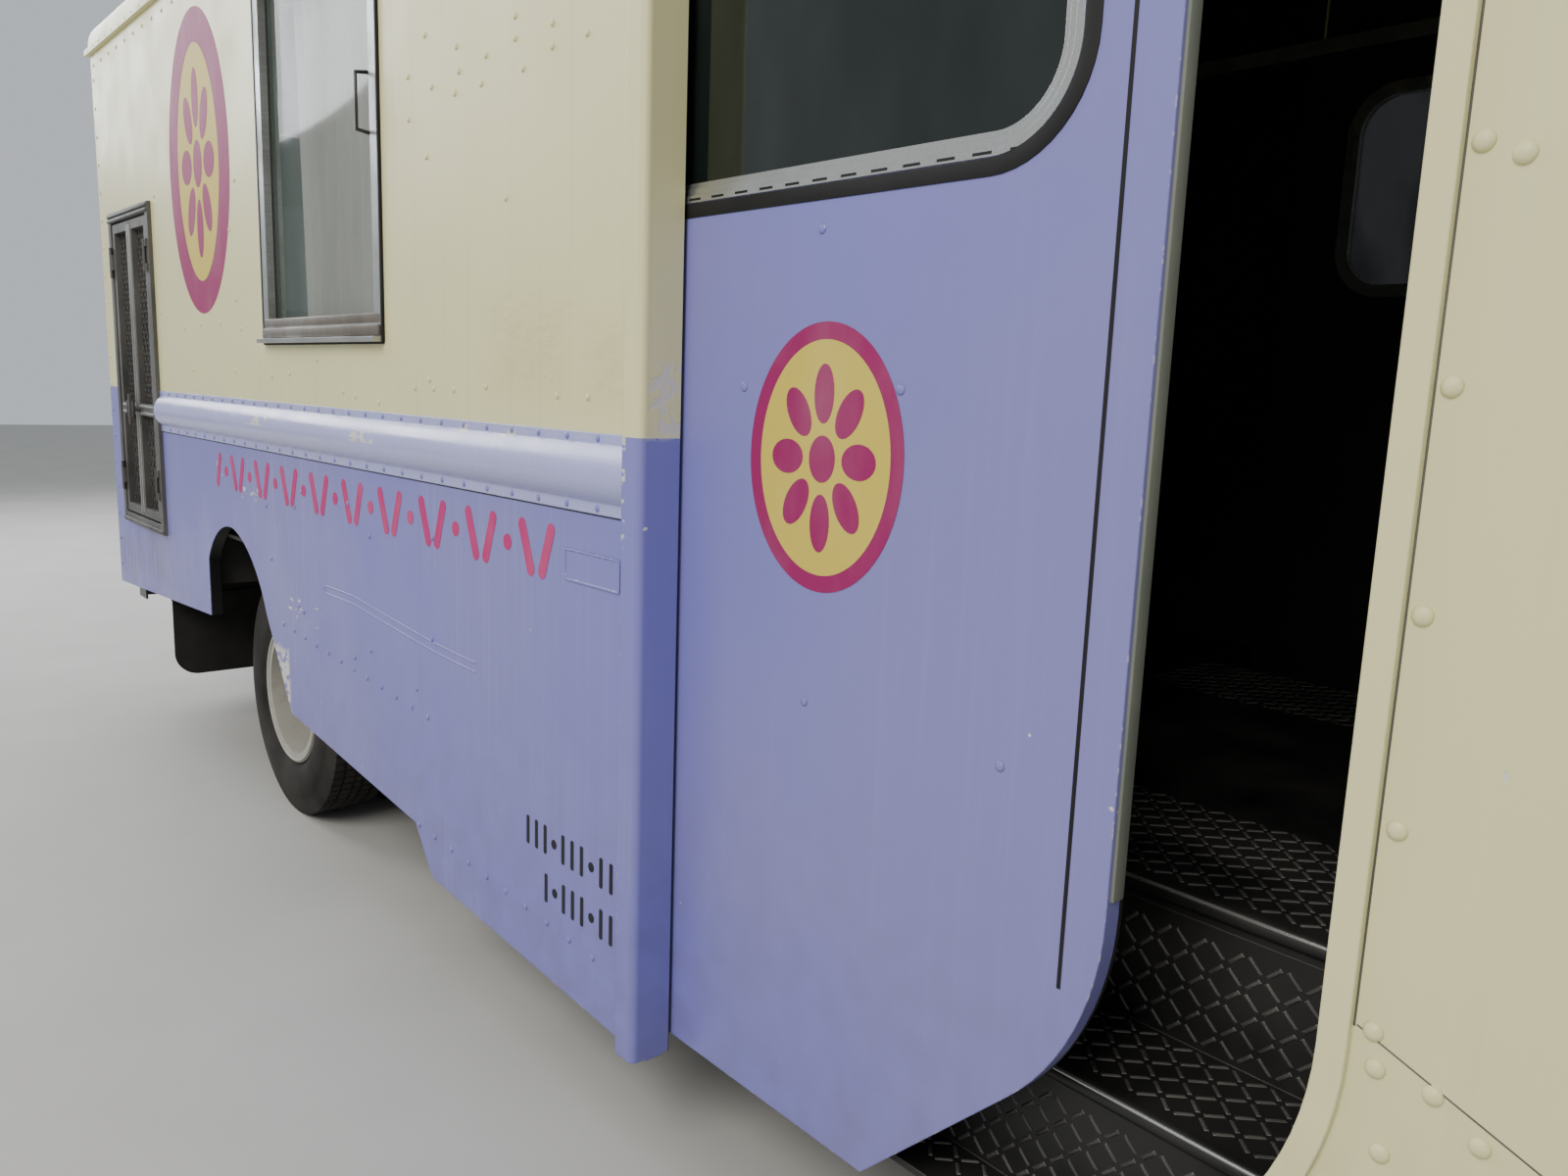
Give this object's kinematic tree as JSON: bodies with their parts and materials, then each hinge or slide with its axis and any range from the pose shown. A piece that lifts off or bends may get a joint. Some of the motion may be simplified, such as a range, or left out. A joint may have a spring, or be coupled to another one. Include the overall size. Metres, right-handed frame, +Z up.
{
  "type": "ice cream truck",
  "caption": "Walk-in step van with a serving window, sliding side doors, a mesh-fronted machine bay, rear doors and twin rear wheels.",
  "frame": {"origin": "on the road, in the middle of the vehicle's length and width", "axes": "+Z up, +Y towards the rear, +X towards the driver's side"},
  "size_m": [2.89, 6.8, 2.9249],
  "materials": {
    "cream_paint": "semi-gloss, weathered",
    "lavender_paint": "semi-gloss, weathered",
    "chassis_paint": "matte black",
    "wheel_paint": "semi-gloss light grey",
    "tread_plate": "black paint over raised tread plate",
    "bay_paint": "dark, weathered",
    "bumper_paint": "satin black",
    "cast_steel": "raw, dusty",
    "tyre_rubber": "dusty rubber",
    "window_glass": "clear",
    "lamp_glass": "fluted clear lens",
    "amber_lens": "moulded lens",
    "red_lens": "moulded lens",
    "window_metal": "extruded, satin",
    "mirror_shell": "polished",
    "flap_rubber": "matte",
    "curtain_cloth": "sheer woven",
    "seat_vinyl": "grained vinyl",
    "dash_plastic": "grained",
    "wheel_plastic": "hard moulded",
    "exhaust_steel": "aluminised, stained"
  },
  "bodies": {
    "chassis": {"cab_shell": "cream_paint", "roof": "cream_paint", "rear_wall": "cream_paint", "side_wall_left": "cream_paint", "side_wall_right": "cream_paint", "belt_mouldings": "lavender_paint", "frame_rails": "chassis_paint", "leaf_springs": "chassis_paint", "fuel_tank": "chassis_paint", "door_tracks": "chassis_paint", "driver_seat": "chassis_paint", "front_axle": "cast_steel", "rear_axle": "cast_steel", "engine_block": "cast_steel", "floor": "tread_plate", "step_wells": "tread_plate", "wheelhouses": "tread_plate", "cab_glass": "window_glass", "serving_glass": "window_glass", "serving_window": "window_metal", "grille_panel": "window_metal", "headlamps": "lamp_glass", "clearance_lamps": "amber_lens", "tail_lamps": "red_lens", "mesh_bay": "bay_paint", "front_bumper": "bumper_paint", "rear_bumper": "bumper_paint", "mud_flaps": "flap_rubber", "mirrors": "mirror_shell", "curtain": "curtain_cloth", "seat_cushions": "seat_vinyl", "dashboard": "dash_plastic", "engine_cover": "dash_plastic", "steering_wheel": "wheel_plastic", "exhaust": "exhaust_steel"},
    "steer_left": {"knuckle_left": "cast_steel"},
    "steer_right": {"knuckle_right": "cast_steel"},
    "tie_rod": {"tie_rod": "cast_steel"},
    "wheel_front_left": {"front_rim_left": "wheel_paint", "front_tyre_left": "tyre_rubber"},
    "wheel_front_right": {"front_rim_right": "wheel_paint", "front_tyre_right": "tyre_rubber"},
    "wheel_rear_left": {"rear_rims_left": "wheel_paint", "rear_tyres_left": "tyre_rubber"},
    "wheel_rear_right": {"rear_rims_right": "wheel_paint", "rear_tyres_right": "tyre_rubber"},
    "hood": {"hood": "cream_paint"},
    "sliding_door_left": {"sliding_door_left": "lavender_paint", "sliding_glass_left": "window_glass", "sliding_sash_left": "window_metal"},
    "sliding_door_right": {"sliding_door_right": "lavender_paint", "sliding_glass_right": "window_glass", "sliding_sash_right": "window_metal"},
    "rear_door_left": {"rear_door_left": "cream_paint", "rear_glass_left": "window_glass"},
    "rear_door_right": {"rear_door_right": "cream_paint", "rear_glass_right": "window_glass"},
    "mesh_door_front": {"mesh_door_front": "bay_paint"},
    "mesh_door_rear": {"mesh_door_rear": "bay_paint"}
  },
  "joints": [
    {"name": "steer_left", "type": "hinge", "parent": "chassis", "child": "steer_left", "pos_m": [0.74, -2.52, 0.405], "axis": [0, 0, 1], "range_deg": [-30, 30]},
    {"name": "steer_right", "type": "hinge", "parent": "chassis", "child": "steer_right", "pos_m": [-0.74, -2.52, 0.405], "axis": [0, 0, 1], "range_deg": [-30, 30]},
    {"name": "tie_rod", "type": "slide", "parent": "chassis", "child": "tie_rod", "axis": [1, 0, 0], "range_m": [-0.09, 0.09]},
    {"name": "roll_front_left", "type": "hinge", "parent": "steer_left", "child": "wheel_front_left", "pos_m": [0.88, -2.52, 0.405], "axis": [1, 0, 0], "continuous": true},
    {"name": "roll_front_right", "type": "hinge", "parent": "steer_right", "child": "wheel_front_right", "pos_m": [-0.88, -2.52, 0.405], "axis": [1, 0, 0], "continuous": true},
    {"name": "roll_rear_left", "type": "hinge", "parent": "chassis", "child": "wheel_rear_left", "pos_m": [0.81, 1.47, 0.405], "axis": [1, 0, 0], "continuous": true},
    {"name": "roll_rear_right", "type": "hinge", "parent": "chassis", "child": "wheel_rear_right", "pos_m": [-0.81, 1.47, 0.405], "axis": [1, 0, 0], "continuous": true},
    {"name": "hood_lift", "type": "hinge", "parent": "chassis", "child": "hood", "pos_m": [0, -3.0219, 1.4964], "axis": [-1, 0, 0], "range_deg": [0, 60]},
    {"name": "slide_left", "type": "slide", "parent": "chassis", "child": "sliding_door_left", "axis": [0, 1, 0], "range_m": [0, 0.96]},
    {"name": "slide_right", "type": "slide", "parent": "chassis", "child": "sliding_door_right", "axis": [0, 1, 0], "range_m": [-0.305, 0.655]},
    {"name": "rear_left_swing", "type": "hinge", "parent": "chassis", "child": "rear_door_left", "pos_m": [0.695, 3.294, 1.64], "axis": [0, 0, -1], "range_deg": [0, 110]},
    {"name": "rear_right_swing", "type": "hinge", "parent": "chassis", "child": "rear_door_right", "pos_m": [-0.695, 3.294, 1.64], "axis": [0, 0, 1], "range_deg": [0, 110]},
    {"name": "mesh_front_swing", "type": "hinge", "parent": "chassis", "child": "mesh_door_front", "pos_m": [-1.17, 2.477, 1.445], "axis": [0, 0, 1], "range_deg": [0, 90]},
    {"name": "mesh_rear_swing", "type": "hinge", "parent": "chassis", "child": "mesh_door_rear", "pos_m": [-1.17, 3.008, 1.445], "axis": [0, 0, -1], "range_deg": [0, 90]}
  ],
  "couplings": [
    {"joint": "steer_right", "follows": "steer_left", "ratio": 1},
    {"joint": "tie_rod", "follows": "steer_left", "m_per_rad": -0.17}
  ]
}
